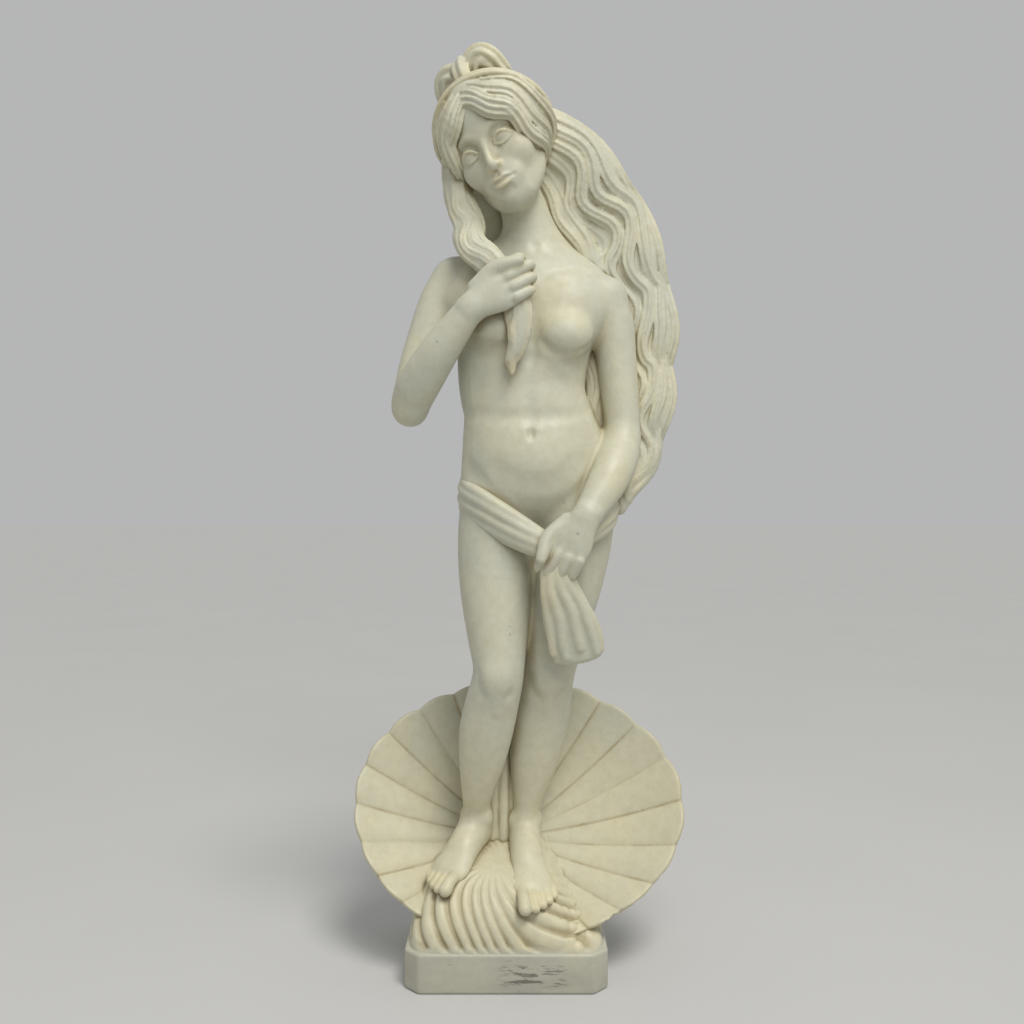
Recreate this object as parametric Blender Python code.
"""A cast garden statue: a goddess stands in a leaning scallop shell, on heaped water and a plinth.

The statue is one solid. Its free forms are united as signed distances on a grid, the way a sculptor
adds clay, and the skin of that clay is joined to a plinth with crisp faces.
X runs to the viewer's right, Y away from the viewer and Z up, from the centre of the plinth's underside.
"""

import math

import bmesh
import bpy
import numpy as np
from mathutils import Matrix

# Plinth, in metres: outline, height, cut upright corners and rounded edges
PLINTH_WIDTH = 0.176
PLINTH_DEPTH = 0.150
PLINTH_HEIGHT = 0.034
PLINTH_CORNER = 0.013
PLINTH_EDGE = 0.0025

# Water: the bare ledge around it, its height over the plinth, and its furrows
WATER_LEDGE = 0.0015
WATER_RISE = 0.068
WATER_FURROWS = 24
WATER_FURROW_DEPTH = 0.006

# Shell: outline, hollow, wall, backward lean and pleats
SHELL_WIDTH = 0.305
SHELL_LENGTH = 0.245
SHELL_DEPTH = 0.046
SHELL_WALL = 0.0065
SHELL_LEAN = math.radians(35)
SHELL_PLEATS = 24
SHELL_PLEAT_DEPTH = 0.0045

# Place of the shell's front lip: off the middle, behind the plinth's front, below the water's top
SHELL_OFFSET = 0.011
SHELL_SETBACK = 0.0145
SHELL_SINK = 0.0625

# Figure, from her heels to her crown, and how many units her forms count over that height
FIGURE_HEIGHT = 0.725
FIGURE_UNITS = 725

# Fineness of the carving, and how many triangles the solid keeps of it
CARVING_STEP = 0.003
CARVING_TRIANGLES = 9300

MM = 1000.0
FAR = 1000.0


class Clay:
    """Signed distances, in millimetres, on a grid of lines. They are negative inside."""

    def __init__(self, lines):
        self.lines = [np.asarray(line, np.float32) for line in lines]
        self.field = np.full([len(line) for line in self.lines], FAR, np.float32)

    def window(self, low, high):
        """The slices of the grid that a box covers, and the coordinates there."""
        cut = []
        for line, a, b in zip(self.lines, low, high):
            first, last = np.searchsorted(line, (a, b))
            cut.append(slice(int(first), int(last)))
        x, y, z = (line[s] for line, s in zip(self.lines, cut))
        return tuple(cut), x[:, None, None], y[None, :, None], z[None, None, :]

    def add(self, form, blend=4.0):
        """Unites a form with the clay, with a fillet where the two meet."""
        cut, distance = form.distance(self, blend)
        if distance is not None:
            self.field[cut] = smooth_min(self.field[cut], distance, blend)

    def cut(self, form, blend=2.0):
        """Takes a form away from the clay, with the edge rounded."""
        cut, distance = form.distance(self, blend)
        if distance is not None:
            self.field[cut] = -smooth_min(-self.field[cut], distance, blend)

    def stroke(self, points, width, height):
        """A ridge along a line, or a groove where the height is negative."""
        points = np.asarray(points, np.float32)
        heights = np.broadcast_to(np.asarray(height, np.float32), len(points))
        widths = np.broadcast_to(np.asarray(width, np.float32), len(points))
        reach = float(widths.max())
        whole, *_ = self.window(points.min(0) - reach, points.max(0) + reach)
        best = np.zeros([s.stop - s.start for s in whole], np.float32)
        if best.size == 0:
            return
        for i in range(max(1, len(points) - 1)):
            a, b = points[i], points[min(i + 1, len(points) - 1)]
            part, x, y, z = self.window(np.minimum(a, b) - reach, np.maximum(a, b) + reach)
            if 0 in (x.size, y.size, z.size):
                continue
            px, py, pz = x - a[0], y - a[1], z - a[2]
            d = b - a
            length = float(d @ d) or 1.0
            t = np.clip((px * d[0] + py * d[1] + pz * d[2]) / length, 0, 1)
            gap = (px - t * d[0]) ** 2 + (py - t * d[1]) ** 2 + (pz - t * d[2]) ** 2
            j = min(i + 1, len(points) - 1)
            wide = widths[i] + t * (widths[j] - widths[i])
            high = heights[i] + t * (heights[j] - heights[i])
            bump = np.clip(1 - gap / wide**2, 0, None) ** 2 * high
            inner = tuple(slice(s.start - w.start, s.stop - w.start) for s, w in zip(part, whole))
            old = best[inner]
            best[inner] = np.where(np.abs(bump) > np.abs(old), bump, old)
        self.field[whole] -= best

    def close_pinches(self):
        """Fills a grid point wherever the clay would touch itself only along an edge or at a corner."""
        inside = self.field < 0
        while True:
            fill = np.zeros_like(inside)
            for one, two in ((0, 1), (0, 2), (1, 2)):
                near, far = slice(0, -1), slice(1, None)
                view = [[slice(None)] * 3 for _ in range(4)]
                for v, (p, q) in zip(view, ((near, near), (far, near), (near, far), (far, far))):
                    v[one], v[two] = p, q
                a, b, c, d = (inside[tuple(v)] for v in view)
                fill[tuple(view[1])] |= a & d & ~b & ~c
                fill[tuple(view[0])] |= b & c & ~a & ~d
            ends = (slice(0, -1), slice(1, None))
            corner = {(i, j, k): inside[ends[i], ends[j], ends[k]] for i in (0, 1) for j in (0, 1) for k in (0, 1)}
            count = sum(c.astype(np.uint8) for c in corner.values())
            for j, k in ((0, 0), (0, 1), (1, 0), (1, 1)):
                p, q = corner[0, j, k], corner[1, 1 - j, 1 - k]
                fill[ends[1], ends[j], ends[k]] |= (count == 2) & p & q
                fill[ends[0], ends[j], ends[k]] |= (count == 6) & ~p & ~q
            if not fill.any():
                break
            self.field[fill] = -0.02
            inside |= fill

    def skin(self):
        """The zero surface as points and quads, one point for each cell that it crosses."""
        self.close_pinches()
        field = self.field
        inside = field < 0
        corners = [(i, j, k) for i in (0, 1) for j in (0, 1) for k in (0, 1)]
        nx, ny, nz = (n - 1 for n in field.shape)
        count = np.zeros((nx, ny, nz), np.uint8)
        for i, j, k in corners:
            count += inside[i : i + nx, j : j + ny, k : k + nz]
        cells = np.argwhere((count > 0) & (count < 8))
        del count
        place = np.zeros((len(cells), 3), np.float64)
        hits = np.zeros(len(cells))
        for axis in range(3):
            others = [a for a in range(3) if a != axis]
            for m in (0, 1):
                for n in (0, 1):
                    start = np.zeros(3, int)
                    start[others[0]], start[others[1]] = m, n
                    end = start.copy()
                    end[axis] = 1
                    a, b = cells + start, cells + end
                    va, vb = field[tuple(a.T)], field[tuple(b.T)]
                    cross = (va < 0) != (vb < 0)
                    t = np.where(cross, va / np.where(cross, va - vb, 1), 0)
                    for c in range(3):
                        line = self.lines[c]
                        ends = line[a[:, c]] + t * (line[b[:, c]] - line[a[:, c]])
                        place[:, c] += np.where(cross, ends, 0)
                    hits += cross
        place /= hits[:, None]
        ids = np.full((nx, ny, nz), -1, np.int32)
        ids[tuple(cells.T)] = np.arange(len(cells))
        quads = []
        for axis in range(3):
            low = [slice(1, -1)] * 3
            low[axis] = slice(0, -1)
            high = list(low)
            high[axis] = slice(1, None)
            here, there = inside[tuple(low)], inside[tuple(high)]
            edges = np.argwhere(here != there)
            out = here[tuple(edges.T)]
            offset = np.ones(3, int)
            offset[axis] = 0
            edges = edges + offset
            u, v = np.zeros(3, int), np.zeros(3, int)
            u[(axis + 1) % 3] = 1
            v[(axis + 2) % 3] = 1
            ring = [edges - u - v, edges - v, edges, edges - u]
            quad = np.stack([ids[tuple(r.T)] for r in ring], axis=1)
            quad[~out] = quad[~out][:, ::-1]
            quads.append(quad)
        return place, np.concatenate(quads)


def outer_skin(points, faces):
    """Leaves only the largest closed skin, so that no hollow stays sealed inside."""
    label = np.arange(len(points))
    while True:
        low = label[faces].min(axis=1)
        new = label.copy()
        for corner in faces.T:
            np.minimum.at(new, corner, low)
        new = new[new]
        if (new == label).all():
            break
        label = new
    names, count = np.unique(label, return_counts=True)
    keep = label == names[count.argmax()]
    number = np.cumsum(keep) - 1
    return points[keep], number[faces[keep[faces[:, 0]]]]


def smooth_min(a, b, blend):
    if blend <= 0:
        return np.minimum(a, b)
    near = np.clip(1 - np.abs(a - b) / blend, 0, None)
    return np.minimum(a, b) - near * near * (blend * 0.25)


def curve_through(knots, steps):
    """Points of a Catmull-Rom curve through rows of numbers, ends included."""
    k = np.asarray(knots, float)
    if len(k) == 1:
        return k
    k = np.vstack([2 * k[0] - k[1], k, 2 * k[-1] - k[-2]])
    out = []
    for i in range(1, len(k) - 2):
        for t in np.linspace(0, 1, steps, endpoint=False):
            a, b, c, d = k[i - 1 : i + 3]
            out.append(
                0.5 * (2 * b + (c - a) * t + (2 * a - 5 * b + 4 * c - d) * t**2
                       + (3 * b - a - 3 * c + d) * t**3))
    out.append(k[-2])
    return np.array(out)


class Limb:
    """A form along a curve. A knot is x, y, z, half width, half depth to the front, and to the back."""

    def __init__(self, knots, front=(0, -1, 0), steps=6, flutes=0, flute_depth=0.0, boxy=2.0, around=None):
        rows = [tuple(k) + (k[3],) * (6 - len(k)) if len(k) < 5 else tuple(k) + (k[4],) * (6 - len(k))
                for k in knots]
        rows = curve_through(rows, steps)
        self.centre = rows[:, :3]
        self.half = np.maximum(rows[:, 3:6], 0.3)
        self.flutes, self.flute_depth, self.boxy = flutes, flute_depth, boxy
        tangent = np.gradient(self.centre, axis=0)
        tangent /= np.linalg.norm(tangent, axis=1)[:, None] + 1e-9
        if around is not None:
            front = self.centre * (1, 1, 0) - (*around, 0)
        front = np.broadcast_to(np.asarray(front, float), tangent.shape)
        side = np.cross(tangent, front)
        side /= np.linalg.norm(side, axis=1)[:, None] + 1e-9
        self.side, self.front = side, np.cross(side, tangent)
        self.along = np.concatenate([[0], np.cumsum(np.linalg.norm(np.diff(self.centre, axis=0), axis=1))])

    def distance(self, clay, blend):
        reach = float(self.half.max()) + blend + 3.0
        whole, *_ = clay.window(self.centre.min(0) - reach, self.centre.max(0) + reach)
        shape = [s.stop - s.start for s in whole]
        if 0 in shape:
            return whole, None
        best = np.full(shape, FAR, np.float32)
        for i in range(len(self.centre) - 1):
            a, b = self.centre[i], self.centre[i + 1]
            near = float(self.half[i : i + 2].max()) + blend + 3.0
            part, x, y, z = clay.window(np.minimum(a, b) - near, np.maximum(a, b) + near)
            if 0 in (x.size, y.size, z.size):
                continue
            d = (b - a).astype(np.float32)
            px, py, pz = x - np.float32(a[0]), y - np.float32(a[1]), z - np.float32(a[2])
            t = np.clip((px * d[0] + py * d[1] + pz * d[2]) / max(float(d @ d), 1e-6), 0, 1)
            qx, qy, qz = px - t * d[0], py - t * d[1], pz - t * d[2]
            side = (self.side[i] + self.side[i + 1]).astype(np.float32)
            side /= np.linalg.norm(side)
            front = (self.front[i] + self.front[i + 1]).astype(np.float32)
            front /= np.linalg.norm(front)
            u = qx * side[0] + qy * side[1] + qz * side[2]
            v = qx * front[0] + qy * front[1] + qz * front[2]
            size2 = qx * qx + qy * qy + qz * qz
            h0, h1 = self.half[i].astype(np.float32), self.half[i + 1].astype(np.float32)
            wide = h0[0] + t * (h1[0] - h0[0])
            deep = np.where(v > 0, h0[1] + t * (h1[1] - h0[1]), h0[2] + t * (h1[2] - h0[2]))
            end = np.minimum(wide, deep)
            w2 = np.clip(size2 - u * u - v * v, 0, None)
            if self.boxy == 2.0:
                r = np.sqrt((u / wide) ** 2 + (v / deep) ** 2 + w2 / end**2) + 1e-6
            else:
                n = self.boxy
                r = ((np.abs(u) / wide) ** n + (np.abs(v) / deep) ** n
                     + (np.sqrt(w2) / end) ** n) ** (1 / n) + 1e-6
            size = np.sqrt(size2)
            gap = size - size / r
            if self.flutes:
                turn = np.arctan2(v / deep, u / wide)
                gap = gap - self.flute_depth * end * np.cos(self.flutes * turn)
            inner = tuple(slice(s.start - w.start, s.stop - w.start) for s, w in zip(part, whole))
            best[inner] = np.minimum(best[inner], gap)
        return whole, best


class Ball:
    """An ellipsoid. The turn is a 3 by 3 matrix whose columns are its own axes."""

    def __init__(self, centre, radii, turn=None):
        self.centre = np.asarray(centre, float)
        self.radii = np.broadcast_to(np.asarray(radii, float), 3)
        self.turn = np.eye(3) if turn is None else np.asarray(turn, float)

    def distance(self, clay, blend):
        reach = np.abs(self.turn) @ self.radii + blend + 3.0
        cut, x, y, z = clay.window(self.centre - reach, self.centre + reach)
        if 0 in (x.size, y.size, z.size):
            return cut, None
        p = [x - np.float32(self.centre[0]), y - np.float32(self.centre[1]), z - np.float32(self.centre[2])]
        own = [sum(p[c] * np.float32(self.turn[c, a]) for c in range(3)) for a in range(3)]
        size = np.sqrt(sum(o * o for o in own))
        r = np.sqrt(sum((o / np.float32(s)) ** 2 for o, s in zip(own, self.radii))) + 1e-6
        return cut, size - size / r


def mesh_object(name, points, faces, scale=0.001):
    mesh = bpy.data.meshes.new(name)
    mesh.vertices.add(len(points))
    mesh.vertices.foreach_set("co", (np.asarray(points) * scale).astype(np.float32).ravel())
    mesh.loops.add(faces.size)
    mesh.loops.foreach_set("vertex_index", faces.astype(np.int32).ravel())
    mesh.polygons.add(len(faces))
    mesh.polygons.foreach_set("loop_start", np.arange(0, faces.size, faces.shape[1], dtype=np.int32))
    mesh.update(calc_edges=True)
    mesh.validate()
    obj = bpy.data.objects.new(name, mesh)
    bpy.context.scene.collection.objects.link(obj)
    return obj


def grid_lines(low, high, step, fine=()):
    """Evenly spaced numbers from low to high, closer together inside each fine stretch."""
    out, at = [], low
    while at < high + step:
        out.append(at)
        here = step
        for a, b, small in fine:
            if a <= at < b:
                here = min(here, small)
        at += here
    return np.array(out)


class Valve:
    """One valve of a scallop: a leaning dish of even thickness, pleated from its hinge."""

    def __init__(self, centre, half_width, half_length, lean, depth, thickness, pleats, pleat_height, hinge):
        self.c = centre
        self.a, self.b = half_width, half_length
        self.up = (0.0, math.sin(lean), math.cos(lean))
        self.out = (0.0, -math.cos(lean), math.sin(lean))
        self.depth, self.thickness = depth, thickness
        self.pleats, self.pleat_height, self.hinge = pleats, pleat_height, hinge

    def distance(self, clay, blend):
        r = max(self.a, self.b) + 14
        c = self.c
        cut, x, y, z = clay.window((c[0] - r, c[1] - r, c[2] - r), (c[0] + r, c[1] + r, c[2] + r))
        if 0 in (x.size, y.size, z.size):
            return cut, None
        px, py, pz = x - c[0], y - c[1], z - c[2]
        h = py * self.up[1] + pz * self.up[2]
        w = py * self.out[1] + pz * self.out[2]
        t = np.sqrt((px / self.a) ** 2 + (h / self.b) ** 2)
        turn = np.arctan2(h - self.hinge[1], px - self.hinge[0])
        pleat = np.abs(np.cos(self.pleats / 2 * turn))
        rim = t - 1 - 0.011 * pleat - 0.005 * np.sin(5 * turn + 1)
        tt = np.clip(t, 0, 1.1)
        sheet = -self.depth * (1 - tt**2) + self.pleat_height * (pleat**0.7 - 0.6) * np.clip(tt, 0, 1.05)
        slope = 2 * self.depth * tt / self.b
        gap = np.abs(w - sheet) / np.sqrt(1 + slope**2) - self.thickness / 2
        edge = rim * self.b
        both = -smooth_min(-gap, -edge * np.ones_like(gap), 4.0)
        return cut, both


class Mound:
    """Water heaped over the plinth: a height for each place, furrowed from the hinge outwards."""

    def __init__(self, half_width, half_depth, low, rise, fall, apex, furrows, furrow_depth, corner):
        self.w, self.d, self.low, self.rise, self.fall, self.corner = half_width, half_depth, low, rise, fall, corner
        self.apex, self.furrows, self.furrow_depth = apex, furrows, furrow_depth

    def height(self, x, y):
        edge = (np.abs(x) / self.w) ** 9 + (np.abs(y) / self.d) ** 5
        dome = np.sqrt(np.clip(1 - edge, 0, None))
        spill = np.exp(-(((x + 0.17 * self.w) / (0.8 * self.w)) ** 4))
        return self.low + (self.rise * (0.42 + 0.58 * spill) + self.fall * y) * dome

    def furrow(self, x, y, z):
        """Depth of the grooves: they fan from the apex and sweep to the right as the water drops."""
        px, py = x - self.apex[0], y - self.apex[1]
        away = np.hypot(px, py * 1.1)
        drop = np.clip(self.low + 0.8 * self.rise - z, 0, None)
        path = away + 0.9 * drop
        swirl = np.arctan2(py, px) - 0.5 * (np.minimum(path, 120) / 75) ** 1.5
        wave = np.cos(self.furrows / 2 * swirl + 0.8 * np.sin(3 * swirl + 1))
        ridge = np.sqrt(0.97 * wave**2 + 0.03)
        start = np.clip((away - 14) / 45, 0, 1) * np.clip((12 - py) / 30, 0.3, 1)
        end = np.clip((z - self.low + 1) / 7, 0, 1)
        grooves = self.furrow_depth * (1 - ridge) ** 1.2 * start * end
        # foam: small rings beside the left foot's toes
        ring = np.hypot(x - 0.5 * self.w, y + 0.8 * self.d) / self.w
        foam = 0.25 * self.furrow_depth * (1 - np.abs(np.cos(36 * ring))) * np.clip((0.36 - ring) / 0.1, 0, 1)
        return grooves + foam * np.clip(x / self.w * 6 - 2.6, 0, 1)

    def distance(self, clay, blend):
        top = self.low + self.rise + self.fall * self.d + 8
        cut, x, y, z = clay.window((-self.w - 6, -self.d - 6, 0), (self.w + 6, self.d + 6, top))
        if 0 in (x.size, y.size, z.size):
            return cut, None
        rise = self.height(x, y)
        sides = (((np.abs(x) / self.w) ** 8 + (np.abs(y) / self.d) ** 8) ** (1 / 8) - 1) * self.d
        corner = (np.abs(x) + np.abs(y) - (self.w + self.d - self.corner)) * 0.7071
        sides = np.maximum(np.maximum(sides, corner), self.low * 0.4 - z)
        lid = (z - rise) * 0.75
        return cut, -smooth_min(-lid, -sides, 4) + self.furrow(x, y, z)


def water_and_shell(clay):
    """The mound over the plinth and the shell that lies back on it."""
    width, depth = PLINTH_WIDTH * MM / 2, PLINTH_DEPTH * MM / 2
    ledge, rise = WATER_LEDGE * MM, WATER_RISE * MM
    half, lean = SHELL_LENGTH * MM / 2, SHELL_LEAN
    lip_y, lip_z = SHELL_SETBACK * MM - depth, PLINTH_HEIGHT * MM + rise - SHELL_SINK * MM
    centre = (SHELL_OFFSET * MM, lip_y + half * math.sin(lean), lip_z + half * math.cos(lean))
    clay.add(Valve(centre, SHELL_WIDTH * MM / 2, half, lean, SHELL_DEPTH * MM, SHELL_WALL * MM,
                   SHELL_PLEATS, SHELL_PLEAT_DEPTH * MM, (-SHELL_OFFSET * MM, -0.16 * half)), 0)
    clay.add(Mound(width - ledge, depth - ledge, PLINTH_HEIGHT * MM - 1, rise, 0.25, (-0.1 * width, -0.35 * depth),
                   WATER_FURROWS, WATER_FURROW_DEPTH * MM, PLINTH_CORNER * MM), 2.5)


def torso(clay):
    clay.add(Limb([
        (28, 6, 410, 46, 26, 32), (27, 5, 430, 67, 36, 42), (26, 4, 455, 68, 37, 42),
        (22, 2, 480, 63, 36, 36), (18, 1, 505, 57.5, 34, 33), (14.5, 2, 525, 58, 33, 33),
        (14.5, 3, 548, 60, 34, 35), (17.5, 4, 572, 61.5, 35, 38), (21, 5, 596, 61, 34, 40),
        (25, 7, 616, 55, 29, 38), (26, 9, 634, 46, 22, 32), (26, 10, 650, 30, 17, 24),
    ], boxy=2.25, steps=10), 4)
    clay.add(Ball((23, -15, 456), (39, 24.5, 35)), 20)
    for x, z in ((-3, 428), (59, 434)):
        clay.add(Ball((x, 26, z), (33, 27, 34)), 12)
    for x, y, z in ((-10, 34, 606), (60, 36, 598)):
        clay.add(Ball((x, y, z), (24, 9, 28)), 14)
    clay.add(Ball((-26, -10, 606), (31, 19, 30)), 16)
    clay.add(Ball((66, -8, 598), (27, 17, 30)), 16)
    for x, z in ((-8, 574), (53, 567)):
        clay.add(Ball((x - (x - 23) * 0.1, -17, z + 27), (23, 12, 30)), 12)
        clay.add(Ball((x, -24.5, z + 3), (24.5, 20, 20.5)), 10)
    # shoulder girdle and trapezius
    clay.add(Limb([(26, 9, 636, 20, 20, 24), (-8, 8, 634, 19, 18, 24), (-44, 8, 628, 19, 18, 19)]), 10)
    clay.add(Limb([(26, 9, 636, 20, 20, 24), (60, 9, 624, 19, 18, 24), (92, 10, 611, 19, 18, 19)]), 10)
    clay.add(Limb([(20, 16, 690, 10), (4, 17, 662, 12), (-24, 14, 644, 13)]), 14)
    clay.add(Limb([(22, 16, 690, 10), (48, 18, 654, 12), (74, 14, 632, 13)]), 14)


def torso_lines(clay):
    stroke = clay.stroke
    stroke(curve_through([(20, -12, 652), (2, -13, 650), (-18, -10, 651), (-38, -4, 645)], 4), 7, 1.6)
    stroke(curve_through([(33, -12, 650), (52, -13, 643), (70, -10, 638), (88, -3, 628)], 4), 7, 1.6)
    stroke([(26, -12, 654)], 8, -3)
    stroke(curve_through([(24, -34, 612), (23, -36, 580), (22, -34, 548)], 4), 11, -2.2)
    stroke(curve_through([(22, -33, 548), (20, -34, 515), (22, -36, 492)], 4), 10, -1.3)
    stroke([(22, -37.5, 479.5), (22, -37.5, 482)], 6, -5.5)
    stroke(curve_through([(14, -38, 483), (22, -38.5, 487.5), (30, -38, 483)], 4), 4.5, 1.7)
    stroke(curve_through([(-36, -16, 500), (-14, -31, 497), (18, -35, 495), (48, -31, 497), (68, -16, 500)], 5), 10, -1.7)
    stroke(curve_through([(-12, -36, 452), (6, -38, 440), (26, -38, 437), (48, -35, 442), (62, -30, 456)], 5), 14, -1.2)
    for s, x in ((-1, 22), (1, 23)):
        stroke(curve_through([(x + s * 6, -34, 556), (x + s * 22, -31, 546), (x + s * 38, -24, 530)], 4), 11, 1.4)
    stroke(curve_through([(-38, -20, 452), (-18, -31, 428), (8, -36, 404)], 4), 12, -4)
    stroke(curve_through([(90, -18, 456), (70, -30, 430), (42, -36, 404)], 4), 12, -4)
    stroke(curve_through([(26, 44, 640), (24, 44, 590), (20, 36, 530), (24, 42, 478), (28, 48, 452)], 4), 12, -4)
    stroke(curve_through([(28, 50, 452), (28, 54, 428), (28, 40, 404)], 4), 10, -8)


LEG_LEFT = [
    (17, 20, 110, 12, 13, 14), (18, 16, 130, 12.2, 12.5, 13.5), (21, 14, 150, 15.4, 14.5, 16),
    (25.5, 13, 178, 22.5, 18, 21.5), (30, 12, 208, 26.5, 20.5, 25.5), (34, 9, 232, 26.2, 20.5, 23),
    (37, 4, 254, 25, 21.5, 20.5), (39.5, 2, 270, 25.4, 23, 20.5), (43.5, 1, 292, 28, 26, 23),
    (49, 1, 320, 31.5, 30, 27), (55, 3, 352, 35, 33, 31), (60, 5, 385, 37.5, 35, 34),
    (62, 6, 415, 38, 35, 36), (60, 8, 440, 34, 32, 34)]
LEG_RIGHT = [
    (-28, 12, 116, 12, 13, 14), (-28, 5, 136, 12.2, 12.5, 13.5), (-26.5, -3, 156, 15.2, 14.5, 16),
    (-22.5, -10, 184, 21, 17.5, 21), (-18.5, -15, 212, 24.5, 20, 24.5), (-13.5, -20, 236, 24.2, 20.2, 22),
    (-8, -25, 260, 23, 21.5, 19), (-7, -24, 276, 23.6, 23, 20), (-8, -19, 298, 27, 26, 23),
    (-9, -12, 326, 31.3, 30, 27), (-9.5, -5, 356, 34.5, 33, 31), (-8, 1, 388, 37, 35, 34),
    (-5, 5, 418, 37.5, 35, 36), (-2, 8, 442, 33, 32, 34)]


def leg(clay, knots, knee):
    clay.add(Limb(knots, steps=8), 7)
    kx, ky, kz = knee
    clay.add(Ball((kx, ky + 1, kz), (10.5, 5, 12)), 11)
    clay.stroke([(kx - 13, ky + 3, kz + 2), (kx - 11, ky + 3, kz - 14)], 8, -1.1)
    clay.stroke([(kx + 13, ky + 3, kz + 2), (kx + 11, ky + 3, kz - 14)], 8, -1.1)
    clay.stroke([(kx, ky + 1, kz - 18), (kx, ky + 3, kz - 30)], 8, 1.2)


def unit(v):
    v = np.asarray(v, float)
    return v / np.linalg.norm(v)


def foot(clay, heel, toe, ankle, medial):
    """heel and toe are points of the sole; medial is +1 where the big toe is at +X."""
    heel, toe = np.asarray(heel, float), np.asarray(toe, float)
    length = np.linalg.norm(toe - heel)
    f = (toe - heel) / length
    side = unit(np.cross(f, (0, 0, 1))) * -1.0
    side = side if side[0] * medial > 0 else -side
    up = unit(np.cross(side, f))
    up = up if up[2] > 0 else -up

    def at(s, lateral, height):
        return heel + f * (s * length) + side * lateral + up * height

    def knot(s, lateral, height, wide, top, bottom):
        return (*at(s, lateral, height), wide, top, bottom)

    clay.add(Limb([
        knot(0.10, 0, 12, 11.5, 11, 12), knot(0.24, 0, 16, 12.5, 16, 15), knot(0.40, 1, 15, 14, 14, 14),
        knot(0.56, 1.5, 11, 17, 10.5, 11), knot(0.70, 1, 7.5, 19.5, 8.5, 7.5), knot(0.77, 0, 5.5, 17, 5.5, 5.5),
    ], front=up), 8)
    clay.add(Limb([(*ankle, 13, 13, 13), (*at(0.24, 0, 20), 12.5, 13, 13), (*at(0.42, 1.5, 16), 12, 9, 9)], front=f), 10)
    for lateral, tip, r in ((12.6, 1.01, 6.0), (3.2, 0.99, 4.3), (-4.2, 0.945, 4.0), (-10.8, 0.89, 3.8), (-16.6, 0.825, 3.6)):
        clay.add(Limb([
            (*at(tip - 0.28, lateral * 0.88, 7.5), r * 0.95), (*at(tip - 0.13, lateral, r + 3.2), r * 0.9),
            (*at(tip - 0.035, lateral, r), r)], front=up, steps=4), 0.9)
    for lateral in (11.5, -11.5):
        clay.add(Ball(np.asarray(ankle) + side * lateral + (0, 0, 6), (4, 5, 6)), 7)


def arm(clay, upper, fore, fore_front=(0, -1, 0)):
    clay.add(Limb(upper, steps=8), 8)
    clay.add(Limb(fore, steps=8, front=fore_front), 7)


ARM_RIGHT = [(-49, 8, 627, 21, 20, 20), (-61, 5, 602, 21.5, 20, 20), (-71, 0, 572, 20.5, 19.5, 18.5),
             (-81, -7, 540, 18.5, 18, 17), (-87, -12, 514, 16.6, 16, 16), (-88, -14, 505, 15, 14.5, 15)]
FORE_RIGHT = [(-88, -15, 505, 15.2, 14.5, 15), (-80, -26, 523, 19, 17, 17), (-63, -39, 548, 17.8, 16.5, 16.5),
              (-44, -48, 573, 14.6, 12.5, 13), (-29, -53, 591, 12.2, 9.8, 10.2)]
ARM_LEFT = [(92, 10, 609, 20, 19, 19), (99, 9, 585, 20, 19, 19), (102, 8, 555, 19, 18.5, 18),
            (105, 5, 522, 17.5, 17.5, 16.5), (107, 1, 492, 16.4, 15.5, 16), (107, -2, 478, 15.2, 15, 15.5)]
FORE_LEFT = [(107, -2, 478, 15.5, 15, 15.5), (102, -14, 462, 18.6, 17, 17), (92, -28, 441, 18, 16.5, 16.5),
             (79, -41, 420, 14.8, 13, 13), (68.5, -50, 405, 12.2, 9.8, 10.2)]


def hand(clay, wrist, reach, palm, thumb, curls, thumb_to, size=1.17):
    """A hand from its wrist: reach is where the knuckles point, palm where the palm faces, thumb its side."""
    wrist = np.asarray(wrist, float)
    reach = unit(reach)
    palm = unit(np.asarray(palm) - reach * (np.dot(palm, reach)))
    thumb = unit(np.asarray(thumb) - reach * np.dot(thumb, reach) - palm * np.dot(thumb, palm))
    back = -palm

    def at(along, across, lift):
        return wrist + (reach * along + thumb * across + back * lift) * size

    def knot(place, *half):
        return (*place, *[h * size for h in half])

    clay.add(Limb([knot(at(-4, 0, 0), 10, 8.5, 8.5), knot(at(8, 0, 0), 12.5, 8, 8), knot(at(20, 0, 0), 16, 6.6, 7.2),
                   knot(at(31, -0.5, -0.5), 15.5, 4.8, 6)], front=back, boxy=2.4), 4)
    for n, (across, length, r) in enumerate(((12.6, 33, 4.4), (4.3, 36, 4.5), (-4.2, 34, 4.4), (-12.0, 28, 3.9))):
        p = at(36 - 0.35 * abs(across - 3), across, 1.0)
        pts = [knot(at(16, across * 0.7, 1.5), r * 0.8), knot(at(28, across * 0.92, 1.4), r * 0.92), knot(p, r * 1.12)]
        angle = 0.0
        for share, bend in zip((0.44, 0.31, 0.25), curls):
            angle += math.radians(bend + 3 * n)
            p = p + (reach * math.cos(angle) + palm * math.sin(angle)) * length * share * size
            r *= 0.94
            pts.append(knot(p, r))
        clay.add(Limb(pts, front=back, steps=5), 1.4)
    t0 = at(8, 11, -2)
    t3 = np.asarray(thumb_to, float)
    mid = (t0 + t3) / 2 + thumb * 5 * size
    clay.add(Limb([knot(t0, 6.5), knot(mid, 5.4), knot(t3 * 0.7 + mid * 0.3, 4.9), knot(t3, 3.9)], steps=5), 3)


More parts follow.
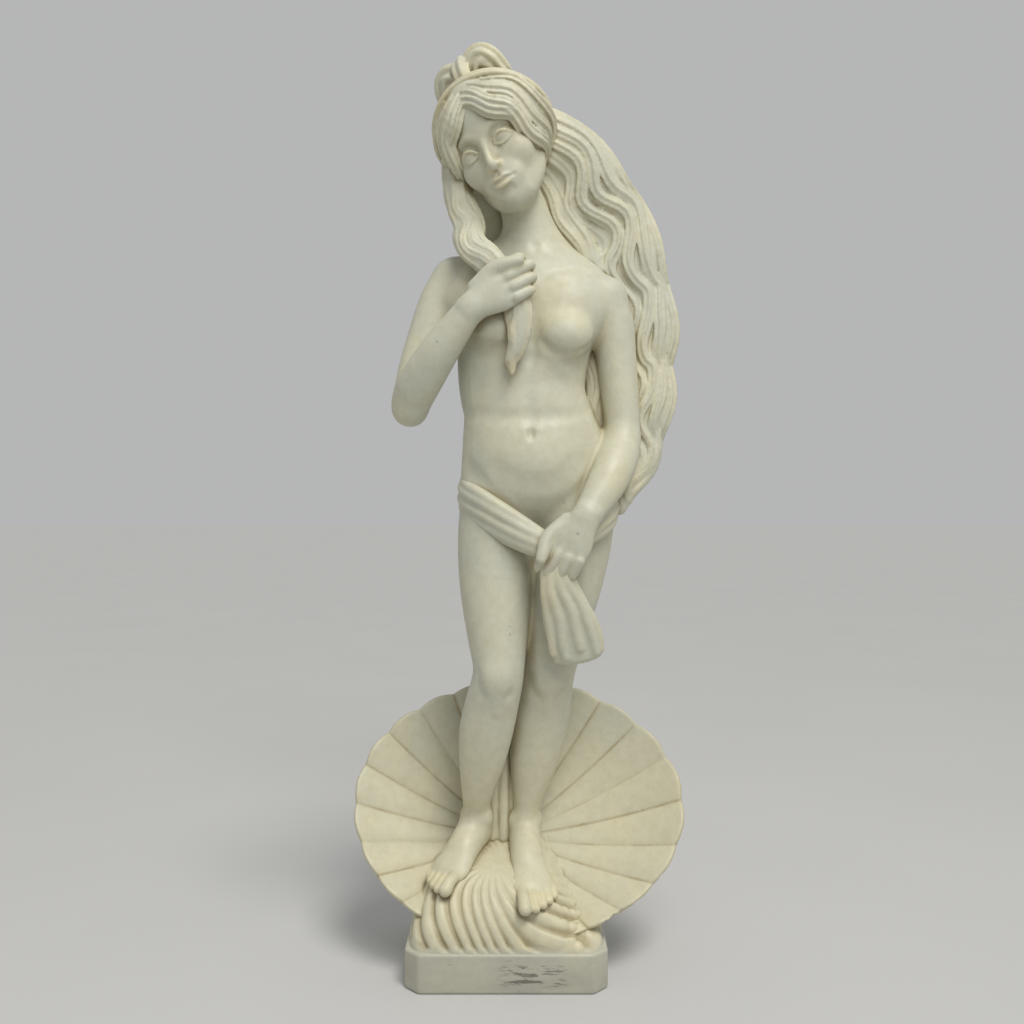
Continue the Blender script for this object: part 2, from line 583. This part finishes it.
class Place:
    """Moves points of a part's own space to where the part is."""

    def __init__(self, origin, yaw, pitch, roll, scale=1.0):
        turn = (Matrix.Rotation(math.radians(yaw), 3, "Z") @ Matrix.Rotation(math.radians(roll), 3, "Y")
                @ Matrix.Rotation(math.radians(pitch), 3, "X"))
        self.turn, self.origin, self.scale = np.array(turn), np.asarray(origin, float), scale

    def __call__(self, *p):
        return self.origin + self.turn @ (np.asarray(p, float) * self.scale)

    def knot(self, x, y, z, *half):
        return (*self(x, y, z), *[h * self.scale for h in half])

    def ball(self, centre, radii):
        return Ball(self(*centre), np.asarray(radii, float) * self.scale * np.ones(3), self.turn)

    def limb(self, knots, front=(0, -1, 0), own=True, **more):
        front = self.turn @ np.asarray(front, float) if own else front
        return Limb([self.knot(*k) for k in knots], front=front, **more)

    def line(self, points):
        return np.array([self(*p) for p in points])


HEAD = Place((-6, -6, 746), -27, 19, -23, 1.13)


def neck(clay):
    clay.add(Limb([(28, 13, 636, 30, 24, 24), (27, 12, 654, 24.5, 21, 22), (21, 9, 676, 21.5, 20, 21),
                   (14, 6, 698, 20.8, 20.5, 22), (6, 6, 722, 21, 22, 24)]), 14)


def head(clay):
    h = HEAD
    clay.add(h.ball((0, 9, 15), (35.5, 43, 36)), 6)
    clay.add(h.limb([(0, -6, 36, 24, 24, 25), (0, -8, 20, 30, 29, 25), (0, -8, 5, 31.5, 29.5, 25),
                     (0, -9, -9, 30, 28.5, 22), (0, -11, -21, 26, 27, 20), (0, -15, -33, 19.5, 24, 18),
                     (0, -19, -42, 12.5, 17.5, 14), (0, -21, -46, 8, 13, 11)], boxy=2.15), 6)
    clay.add(h.ball((0, -30.5, -43), (8.5, 8.5, 8.2)), 9)
    for s in (-1, 1):
        clay.add(h.limb([(s * 24, 4, -17, 7.5), (s * 20, -8, -31, 7), (s * 11, -23, -42, 6.5)]), 12)
        clay.add(h.ball((s * 19.5, -24, -12), (10.5, 9.5, 12)), 10)


def face(clay):
    h = HEAD
    for s in (-1, 1):
        clay.stroke(h.line([(s * 13.5, -37, 2.5), (s * 18, -36, 2)]), 11.5, -4.6)
        clay.stroke(h.line([(s * 8.5, -38, 1), (s * 9, -37, -6)]), 6, -2.0)
    clay.add(h.limb([(0, -34.5, 12, 3.6, 3.2, 6), (0, -36.2, 5, 2.8, 3.0, 6), (0, -38.8, -3, 2.7, 3.2, 8),
                     (0, -41.6, -10, 3.0, 3.6, 9), (0, -43.6, -15.4, 3.6, 3.8, 8), (0, -42.0, -18.2, 2.6, 2.6, 6)],
                    front=(0, -1, 0.3), steps=4), 3.5)
    for s in (-1, 1):
        clay.add(h.ball((s * 4.5, -39.0, -16.6), (2.3, 3.8, 2.5)), 3)
        clay.add(h.ball((s * 15.2, -28.6, -0.2), (9.0, 8.6, 8.2)), 1.5)
    for s in (-1, 1):
        lid = curve_through([(s * 7.6, -35.4, -1.6), (s * 10.8, -37.0, 2.2), (s * 15.2, -37.6, 3.9),
                             (s * 19.8, -35.6, 2.6), (s * 23.6, -31.2, -1.2)], 5)
        clay.stroke(h.line(lid), 2.6, 1.7)
        low = curve_through([(s * 8.4, -35.2, -2.6), (s * 12.0, -36.4, -4.6), (s * 16.0, -36.2, -4.9),
                             (s * 20.0, -34.4, -3.8), (s * 23.2, -31.2, -1.6)], 5)
        clay.stroke(h.line(low), 2.4, 1.1)
        crease = curve_through([(s * 8.0, -36, 2.6), (s * 12, -38, 6.2), (s * 17, -37.6, 6.9), (s * 23, -32.6, 4.2)], 5)
        clay.stroke(h.line(crease), 2.6, -1.0)
        brow = curve_through([(s * 5.5, -37.5, 9.5), (s * 13, -37.6, 12.6), (s * 22, -32.5, 11.4), (s * 28, -25, 7)], 5)
        clay.stroke(h.line(brow), 6.5, 1.5)
    # mouth
    clay.add(h.ball((0, -33, -28.5), (16, 7, 11)), 8)
    for s in (-1, 1):
        clay.add(h.limb([(s * 0.9, -40.7, -27.4, 1.9), (s * 5, -40.1, -27.0, 1.8), (s * 11.4, -37.6, -28.9, 1.1)],
                        steps=4), 2)
        clay.stroke(h.line([(s * 12.9, -38.0, -29.4)]), 3.2, -0.9)
    clay.add(h.limb([(-10.6, -37.4, -30.0, 1.1), (-5, -39.7, -31.7, 2.1), (0, -40.3, -32.2, 2.4), (5, -39.7, -31.7, 2.1),
                     (10.6, -37.4, -30.0, 1.1)], steps=4), 2)
    seam = curve_through([(-12.4, -38.4, -29.2), (-5.5, -41.4, -29.3), (0, -42.6, -29.9), (5.5, -41.4, -29.3), (12.4, -38.4, -29.2)], 6)
    clay.stroke(h.line(seam), 1.9, -1.7 * np.sin(np.linspace(0.45, math.pi - 0.45, len(seam))))
    clay.stroke(h.line([(0, -41, -21.5), (0, -41.5, -24.6)]), 2.6, -0.8)
    clay.stroke(h.line([(-4, -39, -37.5), (4, -39, -37.5)]), 6.5, -2.0)


def strand_paths(base, count, spread, lift, wave, length, seed, turns=(0, 360), ends=0.0):
    """Lines that run along a Limb, side by side around it, each with its own wave."""
    rng = np.random.default_rng(seed)
    out = []
    n = len(base.centre)
    s = base.along / base.along[-1]
    for k in range(count):
        turn = math.radians(turns[0] + (turns[1] - turns[0]) * (k + 0.5) / count)
        phase = seed + 0.3 * k + rng.uniform(-0.2, 0.2)
        swing = wave * np.sin(2 * math.pi * base.along / length + phase) * np.clip(s * 4, 0.25, 1)
        reach = 1 - ends * rng.uniform(0, 1)
        deep = np.where(math.sin(turn) > 0, base.half[:, 1], base.half[:, 2])
        across = base.half[:, 0] * spread * math.cos(turn) + swing * abs(math.sin(turn)) * 1.0
        out_ = deep * lift * math.sin(turn) + swing * 0.5 * abs(math.cos(turn))
        path = base.centre + base.side * across[:, None] + base.front * out_[:, None]
        out.append(path[: max(4, int(n * reach))])
    return out


def tress(clay, knots, count, radius, wave, length, seed, core_blend=3, spread=0.86, lift=0.8, flutes=7, depth=0.15,
          turns=(0, 360), ends=0.12, front=(0, -1, 0), blend=1.2, taper=0.35, steps=8, core=True, around=None):
    base = Limb(knots, front=front, steps=steps, around=around)
    if core:
        clay.add(base, core_blend)
    for path in strand_paths(base, count, spread, lift, wave, length, seed, turns, ends):
        m = len(path)
        r = radius * np.clip(np.minimum(1.0, (1 - np.arange(m) / (m - 1)) / 0.35 * (1 - taper) + taper), 0.2, 1)
        rows = [(*p, ri * 1.0, ri * 0.85, ri * 0.85) for p, ri in zip(path, r)]
        clay.add(Limb(rows, front=front, steps=1, flutes=flutes, flute_depth=depth, around=around), blend)


def cap_point(az, el, lift=0.0):
    a, e = math.radians(az), math.radians(el)
    return (
        (38.5 + lift) * math.sin(a) * math.cos(e),
        8 - (45.5 + lift) * math.cos(a) * math.cos(e),
        15 + (38.5 + lift) * math.sin(e),
    )


def over_cap(start, end, lifts, wave, waves, phase, count=16):
    """Points over the head from one direction to another, each with its outward direction."""
    a, b = unit(start), unit(end)
    w = math.acos(float(np.clip(a @ b, -1, 1)))
    across = unit(np.cross(a, b))
    points, outs = [], []
    for q in np.linspace(0, 1, count):
        d = (math.sin((1 - q) * w) * a + math.sin(q * w) * b) / math.sin(w)
        lift = np.interp(q, (0, 0.5, 1), lifts)
        swing = wave * min(1, q * 3) * math.sin(2 * math.pi * waves * q + phase)
        points.append(np.array((0, 8, 15)) + d * np.array((38.5 + lift, 45.5 + lift, 38.5 + lift)) + across * swing)
        outs.append(HEAD.turn @ d)
    return points, np.array(outs)


def scalp(clay):
    h = HEAD
    count = 11
    for s in (-1, 1):
        for j in range(count):
            t = j / (count - 1)
            e = math.radians(34 + 96 * t)
            az, el = math.radians(98 + 70 * t), math.radians(-36 - 8 * t)
            start = (s * 0.06, -math.cos(e), math.sin(e))
            end = (s * math.sin(az) * math.cos(el), -math.cos(az) * math.cos(el), math.sin(el))
            rise = 1.6 * (j % 2)
            lifts = (0.5, 4.5 + rise, 6.5 + rise) if t < 0.5 else (0.5, 3.5 + rise, 4.5 + rise)
            points, outs = over_cap(start, end, lifts, 3.0, 2.4, 0.55 * j + s)
            clay.add(h.limb([(*p, 6.4, 5.8, 5.8) for p in points], steps=1, flutes=8, flute_depth=0.17, front=outs,
                            own=False), 1.5)


def fillet(clay):
    h = HEAD
    for lean in (27, 33):
        c = math.radians(lean)
        points, outs = [], []
        for a in np.radians(np.linspace(-100, 100, 31)):
            d = np.array((math.sin(a), -math.sin(c) * math.cos(a), math.cos(c) * math.cos(a)))
            points.append(np.array((0, 8, 15)) + d * np.array((49, 53, 47)))
            outs.append(h.turn @ d)
        clay.add(h.limb([(*p, 2.4, 2.4, 2.4) for p in points], steps=1, front=np.array(outs), own=False), 1)


def hair(clay):
    h = HEAD
    # the mass at the back of the head and the nape
    clay.add(h.ball((0, 16, 16), (42, 44, 42.5)), 6)
    clay.add(h.limb([(0, 34, 10, 36, 14, 20), (0, 34, -16, 34, 14, 18), (4, 36, -40, 32, 14, 16)], front=(0, -1, 0)), 8)
    clay.add(Limb([(-22, 18, 730, 22, 14, 16), (-18, 30, 700, 26, 10, 14), (-6, 38, 668, 28, 8, 12)]), 8)
    # over the left shoulder and down to the hip
    long_left = [(10, 12, 776, 14, 12, 18), (40, 16, 760, 24, 16, 20), (70, 24, 733, 32, 17, 20), (88, 32, 698, 38, 16, 19), (110, 35, 660, 39, 15, 17),
                 (112, 34, 620, 42, 14, 16), (127, 32, 584, 37, 13, 15), (118, 30, 550, 36, 13, 15), (128, 26, 518, 32, 12, 14),
                 (119, 22, 486, 28, 11, 13), (120, 16, 458, 21, 10, 11), (107, 8, 432, 15, 8, 9), (103, 4, 414, 8, 6, 6)]
    tress(clay, long_left, 13, 8.4, 7.4, 76, 11, turns=(-15, 345), steps=6, lift=0.72, core_blend=4)
    tress(clay, long_left, 4, 6.2, 9.0, 76, 12, turns=(35, 150), steps=6, core=False, ends=0.3, lift=1.05)
    nape = [(30, 20, 726, 14, 10, 12), (45, 21, 696, 18, 10, 12), (62, 20, 664, 18, 9, 11), (82, 20, 634, 14, 8, 9)]
    tress(clay, nape, 5, 5.4, 2.5, 60, 15, turns=(-10, 190), ends=0)
    inner = [(76, 22, 616, 10, 8, 8), (80, 21, 580, 12, 8, 8), (83, 18, 540, 13, 8, 8), (85, 14, 500, 13, 8, 8),
             (87, 8, 462, 9, 6, 6)]
    tress(clay, inner, 5, 4.6, 3.0, 60, 14, turns=(-10, 190), ends=0)
    # down the back
    back = [(8, 42, 738, 32, 10, 14), (18, 50, 700, 40, 10, 13), (30, 52, 655, 45, 9, 12), (40, 50, 600, 50, 8, 11),
            (48, 46, 550, 52, 8, 10), (52, 42, 508, 50, 7, 8), (48, 42, 470, 36, 6, 7), (42, 42, 446, 18, 5, 5)]
    tress(clay, back, 11, 7.6, 7.0, 80, 12, turns=(-8, -172), ends=0.25, steps=6)
    # over the right shoulder to the hand, and across the breast
    right = [(-46, 4, 738, 12, 12, 12), (-45, -2, 708, 11, 10, 10), (-36, -12, 679, 12, 9, 9), (-31, -31, 651, 12, 8, 8),
             (-16, -43, 632, 11, 7, 7), (0, -48, 616, 9, 6, 6), (8, -46, 596, 9, 6, 6), (12, -45, 577, 10, 6, 6),
             (10, -45, 560, 8, 5, 5), (4, -43, 546, 5, 4, 4), (5, -40, 534, 2, 3, 3)]
    tress(clay, right, 8, 4.6, 3.2, 48, 13, ends=0.15, taper=0.2)


def top_knot(clay):
    """A bow of hair tied on the crown."""
    h = HEAD
    for s in (-1, 1):
        lobe = [(s * 1, 13, 55, 6, 7, 7), (s * 7, 12, 66, 9, 8, 8), (s * 15, 13, 71, 10.5, 8, 8),
                (s * 22.5, 15, 65, 9.5, 8, 8), (s * 27, 18, 53, 6.5, 7, 7)]
        clay.add(h.limb(lobe, steps=5, flutes=7, flute_depth=0.16, front=(0, -1, 0.2)), 2)
    clay.add(h.limb([(0, -2, 53, 6, 5, 5), (0, 1, 66, 7, 5.5, 5.5), (0, 13, 74.5, 7.5, 6, 6), (0, 25, 66, 6.5, 5, 5), (0, 30, 54, 6, 5, 5)], steps=4,
                    flutes=5, flute_depth=0.16, front=(0, -1, 1)), 1.5)


def cloth(clay):
    hips = (27, 6)
    band = [(40, -45, 378, 8, 6, 7), (24, -42, 386, 11, 6, 7), (2, -37, 398, 14, 6, 8), (-22, -26, 413, 16, 5, 8),
            (-37, -4, 424, 16, 5, 8), (-34, 24, 430, 16, 5, 8), (-6, 44, 432, 18, 6, 8), (26, 49, 434, 18, 6, 8),
            (60, 46, 434, 18, 6, 8), (88, 30, 430, 16, 5, 8), (97, 2, 422, 16, 5, 8), (88, -26, 406, 14, 6, 8),
            (64, -40, 390, 11, 6, 7), (43, -45, 378, 8, 6, 7)]
    tress(clay, band, 9, 4.6, 0.9, 70, 21, flutes=0, ends=0, taper=0.9, blend=2.0, around=hips)
    tail = [(41, -47, 372, 8, 7, 8), (45, -47, 350, 12, 7, 8), (52, -44, 324, 18, 7, 8), (60, -39, 300, 22, 7, 8), (63, -36, 282, 22, 6, 7)]
    tress(clay, tail, 9, 4.8, 1.5, 50, 23, flutes=0, ends=0.12, taper=0.85, blend=1.8, spread=0.95)
    curtain = [(27, 42, 430, 36, 4, 5), (25, 44, 388, 38, 4, 6), (20, 39, 318, 34, 4, 6), (11, 31, 246, 28, 4, 7),
               (2, 24, 172, 25, 5, 8), (-3, 19, 104, 27, 7, 9)]
    tress(clay, curtain, 6, 7.8, 4.5, 260, 24, flutes=0, ends=0, taper=1.0, blend=1.5, turns=(-4, -176), spread=0.98, lift=1.0)
    tress(clay, curtain, 5, 6.0, 3.5, 220, 25, flutes=0, ends=0, taper=1.0, blend=1.5, turns=(15, 165), core=False)


def figure(clay):
    """The whole figure, in millimetres on a figure 725 mm tall whose heels stand 100 mm up."""
    torso(clay)
    torso_lines(clay)
    neck(clay)
    leg(clay, LEG_LEFT, (38.5, -15, 258))
    leg(clay, LEG_RIGHT, (-9, -43, 264))
    foot(clay, (13, 30, 90), (29, -72, 66), (17, 16, 116), -1)
    foot(clay, (-20, 24, 99), (-64, -51, 76), (-28, 8, 122), 1)
    arm(clay, ARM_LEFT, FORE_LEFT)
    arm(clay, ARM_RIGHT, FORE_RIGHT)
    head(clay)
    face(clay)
    hair(clay)
    scalp(clay)
    fillet(clay)
    top_knot(clay)
    cloth(clay)
    hand(clay, (69, -51, 405), (-0.5, -0.06, -0.86), (0.12, 1, -0.1), (-1, 0, 0.3), (16, 62, 46), (30, -61, 370))
    hand(clay, (-28, -53, 591), (0.82, -0.04, 0.52), (0.05, 1, 0.05), (-0.5, 0, 0.85), (16, 64, 48), (11, -60, 629))


def carve(step, fine=((), (), ())):
    """The clay of the whole statue, less the plinth, on a grid of about this step."""
    scale = FIGURE_HEIGHT * MM / FIGURE_UNITS
    stand = np.array((0, 0, (PLINTH_HEIGHT + WATER_RISE) * MM))
    heels = np.array((0, 0, 102))
    reach = SHELL_LENGTH * MM * math.sin(SHELL_LEAN)
    low = (min(-100 * scale, SHELL_OFFSET * MM - SHELL_WIDTH * MM / 2 - 8), -PLINTH_DEPTH * MM / 2 - 12 * scale, 0)
    high = (max(178 * scale, SHELL_OFFSET * MM + SHELL_WIDTH * MM / 2 + 8),
            max(78 * scale, SHELL_SETBACK * MM - PLINTH_DEPTH * MM / 2 + reach + SHELL_DEPTH * MM), stand[2] + 765 * scale)
    lines = [grid_lines(low[i], high[i], step, fine[i]) for i in range(3)]
    clay = Clay(lines)
    water_and_shell(clay)
    body = Clay([(lines[i] - stand[i]) / scale + heels[i] for i in range(3)])
    figure(body)
    clay.field = smooth_min(clay.field, body.field * np.float32(scale), 3)
    return clay


def resin():
    """Pale cast resin with a dry surface."""
    material = bpy.data.materials.new("cast resin")
    material.use_nodes = True
    shader = material.node_tree.nodes["Principled BSDF"]
    shader.inputs["Base Color"].default_value = (0.57, 0.55, 0.40, 1.0)
    shader.inputs["Roughness"].default_value = 0.5
    shader.inputs["Metallic"].default_value = 0.0
    return material


def plinth():
    """A block with its upright corners cut and every edge rounded."""
    w, d, c = PLINTH_WIDTH / 2, PLINTH_DEPTH / 2, PLINTH_CORNER
    outline = [(w, d - c), (w - c, d), (c - w, d), (-w, d - c), (-w, c - d), (c - w, -d), (w - c, -d), (w, c - d)]
    bm = bmesh.new()
    face = bm.faces.new([bm.verts.new((x, y, 0)) for x, y in outline])
    top = bmesh.ops.extrude_face_region(bm, geom=[face])["geom"]
    bmesh.ops.translate(bm, verts=[v for v in top if isinstance(v, bmesh.types.BMVert)], vec=(0, 0, PLINTH_HEIGHT))
    bmesh.ops.recalc_face_normals(bm, faces=bm.faces[:])
    bmesh.ops.bevel(bm, geom=bm.edges[:], offset=PLINTH_EDGE, segments=2, profile=0.5, affect="EDGES")
    mesh = bpy.data.meshes.new("plinth block")
    bm.to_mesh(mesh)
    bm.free()
    block = bpy.data.objects.new("plinth block", mesh)
    bpy.context.scene.collection.objects.link(block)
    block.hide_render = True
    block.display_type = "WIRE"
    return block


def main():
    for obj in list(bpy.data.objects):
        bpy.data.objects.remove(obj)
    points, quads = outer_skin(*carve(CARVING_STEP * MM).skin())
    statue = mesh_object("statue", points, quads)
    statue.data.materials.append(resin())
    fewer = statue.modifiers.new("fewer faces", "DECIMATE")
    fewer.ratio = CARVING_TRIANGLES / (2 * len(quads))
    fewer.use_collapse_triangulate = True
    join = statue.modifiers.new("plinth", "BOOLEAN")
    join.operation = "UNION"
    join.solver = "EXACT"
    join.object = plinth()


if __name__ == "__main__":
    main()
